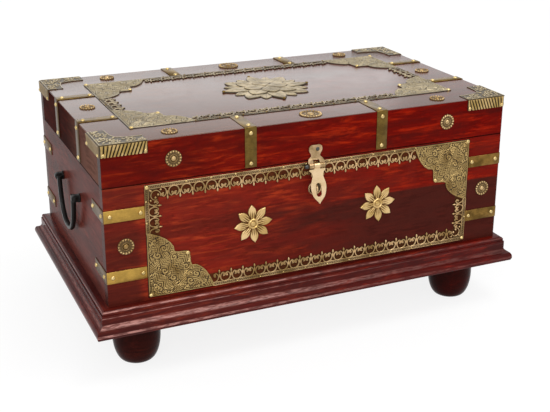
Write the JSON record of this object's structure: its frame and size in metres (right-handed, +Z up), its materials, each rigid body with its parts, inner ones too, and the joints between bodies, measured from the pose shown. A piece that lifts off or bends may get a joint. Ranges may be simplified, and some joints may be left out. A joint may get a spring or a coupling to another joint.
{
  "type": "arabic dowry chest",
  "caption": "Red lacquered sheesham dowry chest with hinged lid, pierced brass lace borders, filigree corners, hasp and end handles on turned feet.",
  "frame": {"origin": "on the floor at the middle of the four feet", "axes": "+X to the right along the chest as seen from the front, +Y towards the back with the hinges, +Z up; the front with the hasp looks along -Y"},
  "size_m": [0.58, 0.36, 0.2956],
  "materials": {
    "red_lacquered_wood": "glossy red mahogany lacquer over sheesham grain",
    "dark_lacquered_wood": "dark maroon lacquer with open pores",
    "inner_wood": "plain oiled wood, not lacquered",
    "sheet_brass": "antique pressed sheet brass with dark grooves",
    "black_iron": "blackened satin",
    "steel": "darkened steel"
  },
  "bodies": {
    "case": {"case_front_board": "red_lacquered_wood", "case_back_board": "red_lacquered_wood", "case_left_board": "red_lacquered_wood", "case_right_board": "red_lacquered_wood", "case_bottom_board": "inner_wood", "plinth_front": "dark_lacquered_wood", "plinth_back": "dark_lacquered_wood", "plinth_left": "dark_lacquered_wood", "plinth_right": "dark_lacquered_wood", "foot_blocks": "inner_wood", "feet": "dark_lacquered_wood", "corner_straps_front_left": "sheet_brass", "corner_straps_front_right": "sheet_brass", "corner_straps_back_left": "sheet_brass", "corner_straps_back_right": "sheet_brass", "case_lace_top": "sheet_brass", "case_lace_bottom": "sheet_brass", "case_lace_left": "sheet_brass", "case_lace_right": "sheet_brass", "case_filigree_lower_left": "sheet_brass", "case_filigree_upper_right": "sheet_brass", "flower_left": "sheet_brass", "flower_right": "sheet_brass", "case_rosettes": "sheet_brass", "staple_plate": "sheet_brass", "staple_eye": "sheet_brass", "handle_brackets": "black_iron", "hinge_case_leaves": "sheet_brass", "hinge_case_screws": "steel", "hinge_pins": "steel", "case_nails": "sheet_brass"},
    "lid": {"lid_top_panel": "red_lacquered_wood", "lid_front_rail": "red_lacquered_wood", "lid_back_rail": "red_lacquered_wood", "lid_left_rail": "red_lacquered_wood", "lid_right_rail": "red_lacquered_wood", "corner_cap_front_left": "sheet_brass", "corner_cap_front_right": "sheet_brass", "corner_cap_back_left": "sheet_brass", "corner_cap_back_right": "sheet_brass", "lid_straps_front": "sheet_brass", "lid_straps_back": "sheet_brass", "lid_straps_left": "sheet_brass", "lid_straps_right": "sheet_brass", "lid_lace_front": "sheet_brass", "lid_lace_back": "sheet_brass", "lid_lace_left": "sheet_brass", "lid_lace_right": "sheet_brass", "lid_filigree_corners": "sheet_brass", "lid_medallion": "sheet_brass", "lid_rosettes_small": "sheet_brass", "lid_rosettes_large": "sheet_brass", "lid_nails": "sheet_brass", "hinge_lid_leaves": "sheet_brass", "hinge_lid_screws": "steel", "hasp_plate": "sheet_brass", "hasp_pin": "steel"},
    "hasp": {"hasp_leaf": "sheet_brass"},
    "bail_left": {"handle_bail_left": "black_iron"},
    "bail_right": {"handle_bail_right": "black_iron"}
  },
  "joints": [
    {"name": "lid_hinge", "type": "hinge", "parent": "case", "child": "lid", "pos_m": [0, 0.1637, 0.24015], "axis": [-1, 0, 0], "range_deg": [0, 100]},
    {"name": "hasp_swing", "type": "hinge", "parent": "lid", "child": "hasp", "pos_m": [-0.0035, -0.1652, 0.234], "axis": [-1, 0, 0], "range_deg": [0, 160]},
    {"name": "bail_left_swing", "type": "hinge", "parent": "case", "child": "bail_left", "pos_m": [-0.277, 0, 0.19105], "axis": [0, 1, 0], "range_deg": [0, 95]},
    {"name": "bail_right_swing", "type": "hinge", "parent": "case", "child": "bail_right", "pos_m": [0.277, 0, 0.19105], "axis": [0, -1, 0], "range_deg": [0, 95]}
  ]
}
